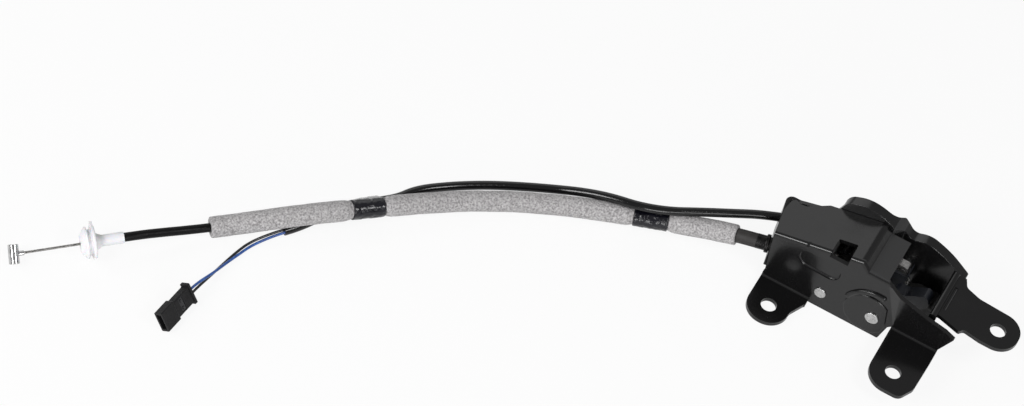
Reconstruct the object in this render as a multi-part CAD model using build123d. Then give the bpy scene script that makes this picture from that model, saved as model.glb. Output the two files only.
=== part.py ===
from build123d import *
import os
from math import acos, atan2, cos, degrees, radians, sin, tan

os.makedirs("parts", exist_ok=True)

# Tailgate lock with its release cable and switch harness, in millimetres.
# Origin: centre of the left ear's hole, on the ear's underside.
# +X runs along the lock body to the right ear, +Y from the front wall to the back plate, +Z up.
# The lock stands on the left ear and on the lower edges of its two stampings, at Z = 0.

# Stamped sheet and mounting ears
SHEET = 2.6
INNER_BEND = 1.4
OUTER_BEND = INNER_BEND + SHEET
FOLD_R = 2.2
EAR_HOLE_R = 4.5
EAR_END_R = 12.2

# Front bracket
FRONT_Y = 17.0
LEFT_X = -14.0
FOLD_LEFT_Z = 38.2
TOP_SLOPE = 14.0
TOP_RIGHT_X = 37.0
SHELF_X = 41.5
SHELF_END_X = 53.0
SHELF_Z = 46.0
FRONT_EAR_Z = 11.0
FRONT_EAR_X = 77.4
FRONT_EAR_Y = -9.8
FRONT_EAR_LEFT_X = 64.3
FRONT_EAR_RIGHT_X = 92.2
LEFT_EAR_RIGHT_X = 17.0
SIDE_WALL_LEAN = 2.0

# Back bracket
BACK_Y = 49.5
BACK_STEP_Y = 56.0
STEP_START_X = 42.0
STEP_END_X = 47.0
RIGHT_WALL_X = 79.8
RIM_DEPTH = 3.8
RIGHT_EAR_X = 116.2
RIGHT_EAR_Y = 33.7
RIGHT_EAR_TOP_Z = 33.5
ROOT_RIB_HEIGHT = 1.4

# Latch mechanism
FORK_X = 52.7
FORK_Z = 14.2
FORK_SHAFT_R = 4.5
FORK_RIM_R = 19.0
FORK_THICK = 5.0
FORK_Y = 35.5
FORK_TRAVEL = 48.0
JACKET_WALL = 1.5
JACKET_SKIN = 1.2
PAWL_X = 21.4
PAWL_Z = 11.8
PAWL_SHAFT_R = 4.0
PAWL_HUB_R = 6.2
PAWL_THICK = 5.0
PAWL_SWING = 22.0
SPACER_WALL = 1.2
PIVOT_CLEARANCE = 0.06
RIVET_HEAD_FORK_R = 3.9
RIVET_HEAD_PAWL_R = 3.4
RIVET_HEAD_PROUD = 0.8
RIVET_NECK_R = 2.9
FIT_GAP = 0.3

# Release cable
CASING_R = 2.45
WIRE_R = 0.7
FOAM_R = 5.8
SQUEEZED_R = 5.0
TAPE_THICK = 0.6
CABLE_YAW = 11.0
CABLE_PITCH = 6.0
LEVER_ARM = 11.0
LEVER_THICK = 2.5
LEVER_Y = 31.0
NIPPLE_R = 2.5
BARREL_R = 2.85
BARREL_LENGTH = 10.4
CLIP_YAW = -137.7
CLIP_PITCH = 5.5
CLIP_FLANGE_R = 9.3
CLIP_SLEEVE_R = 3.1
CLIP_SLEEVE_END = 18.6

# Switch harness
HARNESS_R = 2.55
LEAD_R = 0.75
CONNECTOR_LENGTH = 25.5
CONNECTOR_WIDTH = 12.5
CONNECTOR_HEIGHT = 9.0


def outline(*corners):
    """A closed face from (x, y) or (x, y, radius) corners."""
    points = [(c[0], c[1]) for c in corners]
    radii = [c[2] if len(c) > 2 else 0 for c in corners]
    return make_face(FilletPolyline(*points, radius=radii, close=True))


def facing_back(face, y0, y1):
    """The face drawn in X and Z, as a plate from y0 to y1."""
    return extrude(Plane.XZ.offset(-y1) * face, amount=y1 - y0)


def facing_up(face, z0, z1):
    """The face drawn in X and Y, as a plate from z0 to z1."""
    return extrude(Plane.XY.offset(z0) * face, amount=z1 - z0)


def facing_right(face, x0, x1):
    """The face drawn in Y and Z, as a plate from x0 to x1."""
    return extrude(Plane.YZ.offset(x0) * face, amount=x1 - x0)


def offset_line(points, distance):
    """The corners of an open line moved to its left by a distance."""
    directions = [(Vector(*b) - Vector(*a)).normalized() for a, b in zip(points, points[1:])]
    normals = [Vector(-d.Y, d.X) for d in directions]
    moved = [Vector(*points[0]) + normals[0] * distance]
    for point, n0, n1 in zip(points[1:-1], normals, normals[1:]):
        moved.append(Vector(*point) + (n0 + n1) * (distance / (1 + n0.dot(n1))))
    moved.append(Vector(*points[-1]) + normals[-1] * distance)
    return [(v.X, v.Y) for v in moved]


def ribbon(points, thickness, near_r, far_r):
    """A bent strip of sheet: the line's own side, then its left side, with a radius at each bend.

    near_r and far_r are the bend radii on the line and on the offset line, one for each inner corner.
    """
    near = [(p[0], p[1], r) for p, r in zip(points, [0] + near_r + [0])]
    far = [(p[0], p[1], r) for p, r in zip(offset_line(points, thickness), [0] + far_r + [0])]
    return outline(*near, *far[::-1])


def cylinder_y(x, z, r, y0, y1):
    return facing_back(Pos(x, z) * Circle(r), y0, y1)


def top_z(x):
    """Height of the sloped top wall's outer face."""
    return FOLD_LEFT_Z + (x - LEFT_X) * tan(radians(TOP_SLOPE))


def write(name, shape):
    shape.label = name
    export_step(shape, f"parts/{name}.step")


# Front bracket: one stamping with a front wall, a sloped top wall, a lower shelf and two ears
INNER_Y = FRONT_Y + SHEET
TOP_RIGHT_Z = top_z(TOP_RIGHT_X)
STRIP_LEFT_X = -17.5

top_strip = ribbon(
    [(STRIP_LEFT_X, top_z(STRIP_LEFT_X)), (TOP_RIGHT_X, TOP_RIGHT_Z), (SHELF_X, SHELF_Z),
     (SHELF_END_X, SHELF_Z)],
    -SHEET, [OUTER_BEND, INNER_BEND], [INNER_BEND, OUTER_BEND])
top_plan = outline(
    (LEFT_X, FRONT_Y), (-16.5, 36.0), (-16.2, 38.2, 0.8), (-15.4, 43.6, 0.8), (-13.6, 45.4, 0.8),
    (-10.0, 43.2, 1.5), (-6.6, 43.0, 2), (4.6, BACK_Y - FIT_GAP, 2), (SHELF_END_X, BACK_Y - FIT_GAP),
    (SHELF_END_X, FRONT_Y))
top_wall = facing_back(top_strip, FRONT_Y, BACK_Y) & facing_up(top_plan, 0, 60)

FACET_TOP_Z = 45.0
FOOT_X = 59.6
SIDE_BASE_Z = FRONT_EAR_Z + SHEET + INNER_BEND
front_face = outline(
    (LEFT_X + 2.7, OUTER_BEND), (LEFT_EAR_RIGHT_X, OUTER_BEND), (LEFT_EAR_RIGHT_X, 0, 0.5),
    (FOOT_X, 0, 1), (60.9, 5.7, 1), (62.4, 12.1), (65.0, SIDE_BASE_Z), (SHELF_END_X + 1, FACET_TOP_Z),
    (SHELF_END_X, SHELF_Z), (SHELF_X, SHELF_Z), (TOP_RIGHT_X, TOP_RIGHT_Z), (LEFT_X, FOLD_LEFT_Z))
front_wall = facing_back(front_face, FRONT_Y, INNER_Y)


def pushed_back(*corners):
    """A flat sheet facet from corners on its front, as thick as the sheet along Y."""
    return extrude(make_face(Polyline(*corners, close=True)), amount=SHEET, dir=(0, 1, 0))


def side_y(z):
    """Depth of the leaning side wall's front at a height."""
    return FRONT_Y - (z - SIDE_BASE_Z) * SIDE_WALL_LEAN / (41.0 - SIDE_BASE_Z)


SIDE_TOP = [(62.6, side_y(41.0), 41.0), (81.3, side_y(34.9), 34.9), (92.0, side_y(32.6), 32.6)]
facet = pushed_back((65.0, FRONT_Y, SIDE_BASE_Z), (SHELF_END_X + 1, FRONT_Y, FACET_TOP_Z), SIDE_TOP[0])
side_wall = pushed_back((65.0, FRONT_Y, SIDE_BASE_Z), *SIDE_TOP,
                        (FRONT_EAR_RIGHT_X, FRONT_Y, SIDE_BASE_Z))
tip = pushed_back((FRONT_EAR_RIGHT_X, FRONT_Y, SIDE_BASE_Z), SIDE_TOP[2], (98.0, 14.6, 31.2))


def ear_bend(x0, x1, z0):
    """The rounded bend between an ear and the wall above it."""
    profile = outline(
        (FRONT_Y - 5, z0), (INNER_Y, z0, OUTER_BEND), (INNER_Y, z0 + OUTER_BEND + 0.5),
        (FRONT_Y, z0 + OUTER_BEND + 0.5), (FRONT_Y, z0 + SHEET, INNER_BEND), (FRONT_Y - 5, z0 + SHEET))
    return facing_right(profile, x0, x1)


left_ear = facing_up(
    outline((-EAR_END_R, FRONT_Y - 4), (-EAR_END_R, -EAR_END_R, EAR_END_R - 0.4),
            (EAR_END_R - 0.2, -EAR_END_R, EAR_END_R - 0.4), (EAR_END_R - 0.2, 2.0, 8),
            (LEFT_EAR_RIGHT_X, FRONT_Y - 4)), 0, SHEET)
left_ear += ear_bend(-EAR_END_R, LEFT_EAR_RIGHT_X, 0)
left_ear -= facing_up(Circle(EAR_HOLE_R), -1, SHEET + 1)

front_ear = facing_up(
    outline((FRONT_EAR_LEFT_X, FRONT_Y - 4), (FRONT_EAR_LEFT_X, FRONT_EAR_Y - 13.6, 12.8),
            (FRONT_EAR_X + 9.5, FRONT_EAR_Y - 13.6, 5), (FRONT_EAR_X + 14.2, FRONT_EAR_Y - 4, 6),
            (FRONT_EAR_RIGHT_X, FRONT_Y - 9, 3), (FRONT_EAR_RIGHT_X, FRONT_Y - 4)),
    FRONT_EAR_Z, FRONT_EAR_Z + SHEET)
front_ear += ear_bend(FRONT_EAR_LEFT_X, FRONT_EAR_RIGHT_X, FRONT_EAR_Z)
front_ear -= facing_up(Pos(FRONT_EAR_X, FRONT_EAR_Y) * Circle(EAR_HOLE_R),
                       FRONT_EAR_Z - 1, FRONT_EAR_Z + SHEET + 1)

front_bracket = top_wall + front_wall + facet + side_wall + tip + left_ear + front_ear

# The fold between the front wall and the sheet above it is rounded on its outside
fold_line = Polyline((LEFT_X - 3, FRONT_Y, top_z(LEFT_X - 3)), (TOP_RIGHT_X, FRONT_Y, TOP_RIGHT_Z),
                     (SHELF_X, FRONT_Y, SHELF_Z), (SHELF_END_X + 3, FRONT_Y, SHELF_Z))
fold_plane = Plane(fold_line @ 0, x_dir=(0, 1, 0),
                   z_dir=(cos(radians(TOP_SLOPE)), 0, sin(radians(TOP_SLOPE))))
fold_waste = make_face(Polyline((-1, 1), (FOLD_R, 1), (FOLD_R, 0), (0, 0), (0, -FOLD_R),
                                (-1, -FOLD_R), close=True))
fold_waste += Rectangle(FOLD_R, FOLD_R, align=(Align.MIN, Align.MAX)) - Pos(FOLD_R, -FOLD_R) * Circle(FOLD_R)
front_bracket -= sweep(fold_plane * fold_waste, path=fold_line, transition=Transition.RIGHT)
NOTCH_X = 5.5
front_bracket -= Pos(NOTCH_X, FRONT_Y, top_z(NOTCH_X)) * Rot(X=45) * Box(1.6, 6.0, 3.2)

# Square hole across the fold, the notch pressed into the fold, and the pivot holes
HOLE_X0 = 18.6
HOLE_X1 = 29.6
HOLE_BACK_Y = 28.0
HOLE_DROP = 4.0
KIDNEY_DEPTH = 1.2
hole_low_z = top_z(HOLE_X0) - HOLE_DROP
front_bracket -= facing_up(
    outline((HOLE_X0, FRONT_Y - 5), (HOLE_X0, HOLE_BACK_Y, 0.8), (HOLE_X1, HOLE_BACK_Y, 0.8),
            (HOLE_X1, FRONT_Y - 5)), hole_low_z, 60)
front_bracket -= cylinder_y(FORK_X, FORK_Z, RIVET_NECK_R, FRONT_Y - 3, INNER_Y + 1)
front_bracket -= cylinder_y(PAWL_X, PAWL_Z, RIVET_NECK_R, FRONT_Y - 3, INNER_Y + 1)

# Kidney-shaped recess, pressed in from the front and standing out inside
kidney = Pos(15.4, 31.6) * Rot(Z=-2) * SlotOverall(25.5, 12.5)
kidney_bump = facing_back(offset(kidney, -0.6), INNER_Y - 1, INNER_Y + KIDNEY_DEPTH)
front_bracket += fillet(kidney_bump.faces().sort_by(Axis.Y)[-1].edges(), 0.8)
kidney_pocket = facing_back(kidney, FRONT_Y - 1, FRONT_Y + KIDNEY_DEPTH)
front_bracket -= fillet(kidney_pocket.faces().sort_by(Axis.Y)[-1].edges(), 1.0)

# Round boss at the fork pivot with a raised rib arching over it
BOSS_R = 14.0
BOSS_PROUD = 0.8
RIB_R = 18.2
RIB_PROUD = 1.3
RIB_HALF_WIDTH = 1.5
boss = facing_back(Pos(FORK_X - 3.5, FORK_Z + 0.6) * Circle(BOSS_R), FRONT_Y - BOSS_PROUD, FRONT_Y)
boss &= facing_back(outline((30, 1.5), (FOOT_X - 0.5, 1.5), (FOOT_X, 5), (61.0, 12),
                            (57.5, 34), (30, 34)), FRONT_Y - 5, FRONT_Y)
boss = fillet(boss.faces().sort_by(Axis.Y)[0].edges(), 0.6)
rib_arc = CenterArc((FORK_X, FORK_Z), RIB_R, 84, 74)
rib = facing_back(make_face(offset(rib_arc, RIB_HALF_WIDTH)), FRONT_Y - RIB_PROUD, FRONT_Y)
rib = fillet(rib.faces().sort_by(Axis.Y)[0].edges(), 1.0)
front_bracket += boss + rib
front_bracket -= cylinder_y(FORK_X, FORK_Z, RIVET_NECK_R, FRONT_Y - 3, INNER_Y + 1)
write("front_bracket", front_bracket)
print(len(front_bracket.solids()), front_bracket.volume, front_bracket.is_valid)

# Back bracket: one stamping with a left end wall, a stepped back plate and a rim bent backwards
WALL_TOP_Z = 33.0
PLATE_END_X = 88.0
end_wall_dir = Vector(sin(radians(CABLE_YAW)), -cos(radians(CABLE_YAW)))
end_wall_root = Vector(-16.9, BACK_Y)
end_wall_front = end_wall_root + end_wall_dir * 29.0
plan_line = [
    (end_wall_front.X, end_wall_front.Y), (end_wall_root.X, BACK_Y), (STEP_START_X, BACK_Y),
    (STEP_END_X, BACK_STEP_Y), (PLATE_END_X, BACK_STEP_Y)]
channel = facing_up(ribbon(plan_line, SHEET, [INNER_BEND, INNER_BEND + 1, OUTER_BEND],
                           [OUTER_BEND, OUTER_BEND + 1, INNER_BEND]), 0, 60)
PLATE_CORNERS = [
    (-30, 6), (4, 6, 3), (4, 0, 1), (76, 0, 3), (PLATE_END_X - 5, 10, 5), (PLATE_END_X, 30.0, 3),
    (74.5, 39.6, 50), (60.5, 44.6, 12), (51.5, 40.6, 5), (44.5, 47.6, 35),
    (36.0, 53.4, 28), (23.0, 55.6, 18), (12.6, 50.6, 8), (9.0, 40.6, 2), (6, 38.0, 2),
    (-12, WALL_TOP_Z - 1, 3), (-30, WALL_TOP_Z - 1)]
plate_face = outline(*PLATE_CORNERS)
back_bracket = channel & facing_back(plate_face, 0, 70)
rim_band = plate_face - offset(plate_face, -SHEET)
rim_band &= Pos(50, 45) * Rectangle(78, 30)
rim_plan = facing_up(ribbon(plan_line[1:], SHEET + RIM_DEPTH, [INNER_BEND + 1, OUTER_BEND],
                            [OUTER_BEND + 1 + RIM_DEPTH, INNER_BEND]), 0, 60)
rim = rim_plan & facing_back(rim_band, 0, 70)
back_bracket += rim
print("back", len(back_bracket.solids()), back_bracket.volume, back_bracket.is_valid)

# Cable axis: from the nipple in the release lever out through the end wall
swing_mid = 90 + CABLE_PITCH
lever_angle = radians(swing_mid - PAWL_SWING / 2)
nipple = Vector(PAWL_X + LEVER_ARM * cos(lever_angle), LEVER_Y + LEVER_THICK / 2,
                PAWL_Z + LEVER_ARM * sin(lever_angle))
inward = Vector(cos(radians(CABLE_PITCH)) * cos(radians(CABLE_YAW)),
                cos(radians(CABLE_PITCH)) * sin(radians(CABLE_YAW)), sin(radians(CABLE_PITCH)))
wall_normal = Vector(cos(radians(CABLE_YAW)), sin(radians(CABLE_YAW)))
wall_middle = end_wall_root - wall_normal * (SHEET / 2)
to_wall = wall_normal.dot(nipple - Vector(wall_middle.X, wall_middle.Y)) / wall_normal.dot(inward)
gate = nipple - inward * to_wall
cable_pull = 2 * LEVER_ARM * sin(radians(PAWL_SWING / 2))
print("gate", gate, "nipple", nipple, "inward", inward, "pull", cable_pull)


def along(origin, direction, start, end, r_outer, r_inner=0):
    """A rod or tube along a direction, from start to end past the origin."""
    plane = Plane(origin + direction * start, z_dir=direction)
    face = Circle(r_outer) - Circle(r_inner) if r_inner else Circle(r_outer)
    return extrude(plane * face, amount=end - start)


FERRULE_NECK_R = 4.0
FERRULE_COLLAR_R = 5.2
COLLAR_THICK = 2.2
neck_half = (SHEET / 2 + FERRULE_COLLAR_R * sin(radians(CABLE_PITCH)) + 0.1) / cos(radians(CABLE_PITCH))
slot_plane = Plane(gate, x_dir=(-sin(radians(CABLE_YAW)), cos(radians(CABLE_YAW)), 0),
                   z_dir=(cos(radians(CABLE_YAW)), sin(radians(CABLE_YAW)), 0))
slot_half = FERRULE_NECK_R + 0.15
slot_face = Circle(slot_half) + Pos(0, 15) * Rectangle(2 * slot_half, 30)
back_bracket -= extrude(slot_plane * slot_face, amount=SHEET * 2, both=True)

# Harness way out through the end wall
HARNESS_START = Vector(-10.0, 45.0, 23.6)
HARNESS_SECOND = Vector(-25.7, 38.7, 22.6)
harness_out = (HARNESS_SECOND - HARNESS_START).normalized()
back_bracket -= along(HARNESS_START, harness_out, 2, 16, HARNESS_R + 0.4)

# Raised seat for the fork's pivot, and the pivot holes
SEAT_R = 5.6
SEAT_Y = BACK_STEP_Y - 1.6
back_bracket += cylinder_y(FORK_X, FORK_Z, SEAT_R, SEAT_Y, BACK_STEP_Y + 0.5)
for x, z in ((FORK_X, FORK_Z), (PAWL_X, PAWL_Z)):
    back_bracket -= cylinder_y(x, z, RIVET_NECK_R, BACK_Y - 1, 65)
print("back", len(back_bracket.solids()), back_bracket.volume, back_bracket.is_valid)

# Right ear: a stamping with a wall down beside the throat, welded to the back plate
RIGHT_WALL_FRONT_Y = 21.0
wall_right = RIGHT_WALL_X + SHEET
right_wall = facing_up(
    ribbon([(wall_right, RIGHT_WALL_FRONT_Y), (wall_right, BACK_STEP_Y - SHEET),
            (PLATE_END_X - 1, BACK_STEP_Y - SHEET)], SHEET, [INNER_BEND], [OUTER_BEND]),
    12, RIGHT_EAR_TOP_Z - SHEET + 0.5)
ear_low_z = RIGHT_EAR_TOP_Z - SHEET
right_ear = facing_up(
    outline((wall_right, BACK_STEP_Y - 0.2), (wall_right, 24.0), (85.5, 23.8, 2), (98.2, 20.2, 1.2),
            (100.3, 23.0, 2), (RIGHT_EAR_X - 6, RIGHT_EAR_Y - EAR_END_R, 20),
            (RIGHT_EAR_X + EAR_END_R, RIGHT_EAR_Y - EAR_END_R, EAR_END_R - 0.4),
            (RIGHT_EAR_X + EAR_END_R, RIGHT_EAR_Y + EAR_END_R, EAR_END_R - 0.4),
            (99.5, RIGHT_EAR_Y + EAR_END_R + 1.5, 12), (90.5, 50.4, 4), (88.0, BACK_STEP_Y - 0.2)),
    ear_low_z, RIGHT_EAR_TOP_Z)
rib_top_z = RIGHT_EAR_TOP_Z + ROOT_RIB_HEIGHT
root_rib = facing_back(
    outline((RIGHT_WALL_X, ear_low_z), (RIGHT_WALL_X, rib_top_z, 1.9), (wall_right + 1.6, rib_top_z, 1.9),
            (wall_right + 1.6, ear_low_z)), RIGHT_WALL_FRONT_Y, BACK_STEP_Y - 0.2)
right_ear += right_wall + root_rib
right_ear -= facing_up(Pos(RIGHT_EAR_X, RIGHT_EAR_Y) * Circle(EAR_HOLE_R), ear_low_z - 1,
                       RIGHT_EAR_TOP_Z + 1)
right_ear -= facing_back(Pos(wall_right + 3.4, RIGHT_EAR_TOP_Z + 0.5) * Circle(1.1), 29, 47)
print("right ear", len(right_ear.solids()), right_ear.volume, right_ear.is_valid)
write("right_ear", right_ear)


def polar(radius, angle):
    return (radius * cos(radians(angle)), radius * sin(radians(angle)))


# Pivot rivets: a shouldered shaft with a neck and a spun head at each end
FORK_BACK_Y = FORK_Y + FORK_THICK
LEVER_BACK_Y = LEVER_Y + LEVER_THICK


def pivot(x, z, shaft_r, head_r, front_y, shoulder_y, back_y):
    front_head = cylinder_y(x, z, head_r, front_y - RIVET_HEAD_PROUD, front_y)
    back_head = cylinder_y(x, z, head_r + 1, back_y + SHEET, back_y + SHEET + 1.6)
    rivet = cylinder_y(x, z, shaft_r, INNER_Y, shoulder_y)
    rivet += cylinder_y(x, z, RIVET_NECK_R, front_y - 0.2, back_y + SHEET + 0.2)
    rivet += fillet(front_head.edges().sort_by(Axis.Y)[0], 0.3)
    rivet += fillet(back_head.edges().sort_by(Axis.Y)[-1], 0.8)
    return rivet


write("fork_pivot", pivot(FORK_X, FORK_Z, FORK_SHAFT_R, RIVET_HEAD_FORK_R,
                          FRONT_Y - BOSS_PROUD, SEAT_Y, BACK_STEP_Y))
write("pawl_pivot", pivot(PAWL_X, PAWL_Z, PAWL_SHAFT_R, RIVET_HEAD_PAWL_R, FRONT_Y, BACK_Y, BACK_Y))


# Spacer tubes on the pivots
def spacer(x, z, shaft_r, wall, y0, y1):
    ring = Circle(shaft_r + PIVOT_CLEARANCE + wall) - Circle(shaft_r + PIVOT_CLEARANCE)
    return facing_back(Pos(x, z) * ring, y0, y1)


FORK_SPACER_WALL = SPACER_WALL + 0.6
write("fork_spacer_front",
      spacer(FORK_X, FORK_Z, FORK_SHAFT_R, FORK_SPACER_WALL, INNER_Y, FORK_Y - FIT_GAP))
write("fork_spacer_back",
      spacer(FORK_X, FORK_Z, FORK_SHAFT_R, FORK_SPACER_WALL, FORK_BACK_Y + FIT_GAP, SEAT_Y))
write("pawl_spacer_front",
      spacer(PAWL_X, PAWL_Z, PAWL_SHAFT_R, SPACER_WALL, INNER_Y, LEVER_Y - FIT_GAP))
write("pawl_spacer_back",
      spacer(PAWL_X, PAWL_Z, PAWL_SHAFT_R, SPACER_WALL, FORK_BACK_Y + FIT_GAP, BACK_Y))


def polar(radius, angle):
    return (radius * cos(radians(angle)), radius * sin(radians(angle)))


# Latch fork, drawn open about its own pivot: rim, hook, kicker arm and tapered mouth
MOUTH_ANGLE = 56.0
MOUTH_R = 6.2
MOUTH_DEPTH = 15.0
HOOK_REACH = 27.5
KICKER_REACH = 24.6
HUB_R = 12.4
NOTCH_ANGLE = 186.0
mouth_x, mouth_y = polar(MOUTH_DEPTH, MOUTH_ANGLE)
mouth_side_x, mouth_side_y = polar(MOUTH_R, MOUTH_ANGLE + 96)
kicker_side_x, kicker_side_y = polar(MOUTH_R, MOUTH_ANGLE - 96)
fork_face = Sketch() + Circle(HUB_R)
fork_face += Circle(FORK_RIM_R) & outline((0, 0), polar(32, 100), polar(32, 150), polar(32, 208))
fork_face += outline(polar(FORK_RIM_R, 116), (-1.5, HOOK_REACH, 2), (6.2, HOOK_REACH, 2.5), (5.0, 8.7))
fork_face += outline((8.6, -7.2), (*polar(KICKER_REACH, 20), 2.5), (*polar(KICKER_REACH, 33), 1.5), (4.0, 8.0))
fork_face -= Pos(mouth_x, mouth_y) * Circle(MOUTH_R)
fork_face -= outline(
    (mouth_x + mouth_side_x, mouth_y + mouth_side_y), (mouth_x + kicker_side_x, mouth_y + kicker_side_y),
    (24.0, 15.4), (24.0, 34.0), (6.4, 34.0), (6.2, 20.0))
fork_face -= Rot(Z=NOTCH_ANGLE) * outline(
    (FORK_RIM_R - 4.2, -0.3, 0.8), (FORK_RIM_R + 3, -1.2), (FORK_RIM_R + 3, 8.5), (FORK_RIM_R - 3.4, 4.6, 1.0))
fork_place = Pos(FORK_X, FORK_Z)
fork_hole = Circle(FORK_SHAFT_R + PIVOT_CLEARANCE)
latch_fork = facing_back(fork_place * (fork_face - fork_hole), FORK_Y, FORK_BACK_Y)
write("latch_fork", latch_fork)

# Plastic jacket moulded round the fork's mouth; the rim and the hook's tip stay bare
jacket_face = offset(fork_face, JACKET_WALL) & outline(
    (-4.5, 9.5), (-4.5, 22.0), (7.0, 22.0), (7.6, 40), (40, 40), (40, -12), (12.5, -9.0), (9.0, -3.5),
    (9.0, 5.5), (3, 9.5))
jacket = facing_back(fork_place * jacket_face, FORK_Y - JACKET_SKIN, FORK_BACK_Y + JACKET_SKIN)
jacket -= facing_back(fork_place * fork_face, FORK_Y, FORK_BACK_Y)
jacket -= cylinder_y(FORK_X, FORK_Z, 9.2, FORK_Y - 5, FORK_BACK_Y + 5)
write("fork_jacket", jacket)
print("fork", latch_fork.volume, latch_fork.is_valid, "jacket", len(jacket.solids()), jacket.is_valid)

# Pawl: a hub and a nose that rides on the fork's rim, drawn along the line that touches the rim
pawl_to_fork = Vector(FORK_X - PAWL_X, FORK_Z - PAWL_Z)
reach = (pawl_to_fork.length ** 2 - FORK_RIM_R ** 2) ** 0.5
nose_angle = degrees(atan2(pawl_to_fork.Y, pawl_to_fork.X)) + degrees(atan2(FORK_RIM_R, reach))
pawl_face = Sketch() + Circle(PAWL_HUB_R)
pawl_face += Rot(Z=nose_angle) * outline(
    (0, -5.6), (reach - 13, -3.9), (reach - 5, -0.25), (reach + 1.4, FIT_GAP + 0.05, 0.6),
    (reach + 1.2, 5.2, 1.5), (reach - 5, 6.8, 5), (0, 5.6))
pawl_hole = Circle(PAWL_SHAFT_R + PIVOT_CLEARANCE)
pawl_place = Pos(PAWL_X, PAWL_Z)
pawl = facing_back(pawl_place * (pawl_face - pawl_hole), FORK_Y, FORK_Y + PAWL_THICK)
pawl += facing_back(pawl_place * (Circle(PAWL_HUB_R) - pawl_hole), LEVER_BACK_Y, FORK_Y)
write("pawl", pawl)
print("pawl", len(pawl.solids()), pawl.is_valid, "nose angle", nose_angle, "reach", reach)

# Release lever beside the pawl: an open eye that holds the cable's nipple, and a tab for the switch
EYE_R = NIPPLE_R + FIT_GAP
EYE_WALL = 2.5
TAB_X = PAWL_X - 8.3
TAB_THICK = 1.6
TAB_BACK_Y = 44.5
arm_x = nipple.X - PAWL_X
arm_z = nipple.Z - PAWL_Z
tab_left = TAB_X - PAWL_X
lever_face = Sketch() + Circle(PAWL_HUB_R)
lever_face += Rot(Z=degrees(lever_angle) - 90) * outline(
    (-5.4, 0), (-4.6, LEVER_ARM), (4.6, LEVER_ARM), (5.4, 0))
lever_face += Pos(arm_x, arm_z) * Circle(EYE_R + EYE_WALL)
lever_face += outline((tab_left, 1.0), (tab_left, 8, 1), (0, 8), (0, -5), (-5, -4))
lever_face -= Pos(arm_x, arm_z) * Circle(EYE_R)
lever_face -= Pos(arm_x + 1.2, arm_z) * outline(
    (0, 0), polar(10, 180 + CABLE_PITCH + 9), polar(10, 180 + CABLE_PITCH - PAWL_SWING - 9))
release_lever = facing_back(pawl_place * (lever_face - pawl_hole), LEVER_Y, LEVER_BACK_Y)
release_lever += facing_back(
    pawl_place * outline((tab_left, 1.5), (tab_left, 8), (tab_left + TAB_THICK, 8), (tab_left + TAB_THICK, 1.5)),
    LEVER_Y, TAB_BACK_Y)
write("release_lever", release_lever)
print("lever", len(release_lever.solids()), release_lever.is_valid)


# Torsion springs: a coil about the pivot with two straight legs that leave it along its tangent
def torsion_spring(x, y0, z, coil_r, wire_r, pitch, whole_turns, first_leg, last_leg):
    """first_leg and last_leg are the (x, z) ends of the legs, from the pivot's centre."""
    first = Vector(first_leg[0], -first_leg[1])
    last = Vector(last_leg[0], -last_leg[1])
    start = degrees(atan2(first.Y, first.X) + acos(coil_r / first.length))
    stop = degrees(atan2(last.Y, last.X) - acos(coil_r / last.length))
    turns = whole_turns + ((stop - start) % 360) / 360
    turn = Rot(Z=start) * Helix(pitch, pitch * turns, coil_r)
    first_length = (first.length ** 2 - coil_r ** 2) ** 0.5
    last_length = (last.length ** 2 - coil_r ** 2) ** 0.5
    path = Wire([Edge.make_line(turn @ 0 - (turn % 0) * first_length, turn @ 0), *turn.edges(),
                 Edge.make_line(turn @ 1, turn @ 1 + (turn % 1) * last_length)])
    coil = sweep(Plane(path @ 0, z_dir=path % 0) * Circle(wire_r), path=path)
    return Plane((x, y0, z), x_dir=(1, 0, 0), z_dir=(0, 1, 0)) * coil


fork_spring = torsion_spring(FORK_X, 43.8, FORK_Z, 7.5, 0.8, 2.1, 3, (1.8, 23.8), (-8.0, 9.0))
pawl_spring = torsion_spring(PAWL_X, 21.6, PAWL_Z, 6.3, 0.6, 1.8, 3, (9.0, -6.5), (-10.5, 5.0))
for name, spring in (("fork_spring", fork_spring), ("pawl_spring", pawl_spring)):
    print(name, len(spring.solids()), spring.is_valid, spring.volume, spring.bounding_box())
    write(name, spring)

# Rubber buffer for the striker, held by a stud through the back plate
BUFFER_X0 = 60.5
BUFFER_X1 = 79.0
BUFFER_Y0 = 43.6
BUFFER_TOP_Z = 11.6
STUD_X = 70.0
STUD_Z = 7.6
STUD_R = 2.4
buffer_face = outline((BUFFER_X0, 3.5, 1.5), (BUFFER_X1, 3.5, 1.5), (BUFFER_X1, BUFFER_TOP_Z, 2.5),
                      (66.0, BUFFER_TOP_Z, 4), (BUFFER_X0, 8.6, 1.5))
striker_buffer = facing_back(buffer_face, BUFFER_Y0, BACK_STEP_Y)
striker_buffer = fillet(striker_buffer.faces().sort_by(Axis.Y)[0].edges(), 1.2)
striker_buffer += cylinder_y(STUD_X, STUD_Z, STUD_R, BACK_STEP_Y, BACK_STEP_Y + SHEET)
stud_head = cylinder_y(STUD_X, STUD_Z, STUD_R + 1.4, BACK_STEP_Y + SHEET, BACK_STEP_Y + SHEET + 2)
striker_buffer += chamfer(stud_head.edges().sort_by(Axis.Y)[-1], 1.2)
write("striker_buffer", striker_buffer)
back_bracket -= cylinder_y(STUD_X, STUD_Z, STUD_R, BACK_STEP_Y - 1, BACK_STEP_Y + SHEET + 1)

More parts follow.
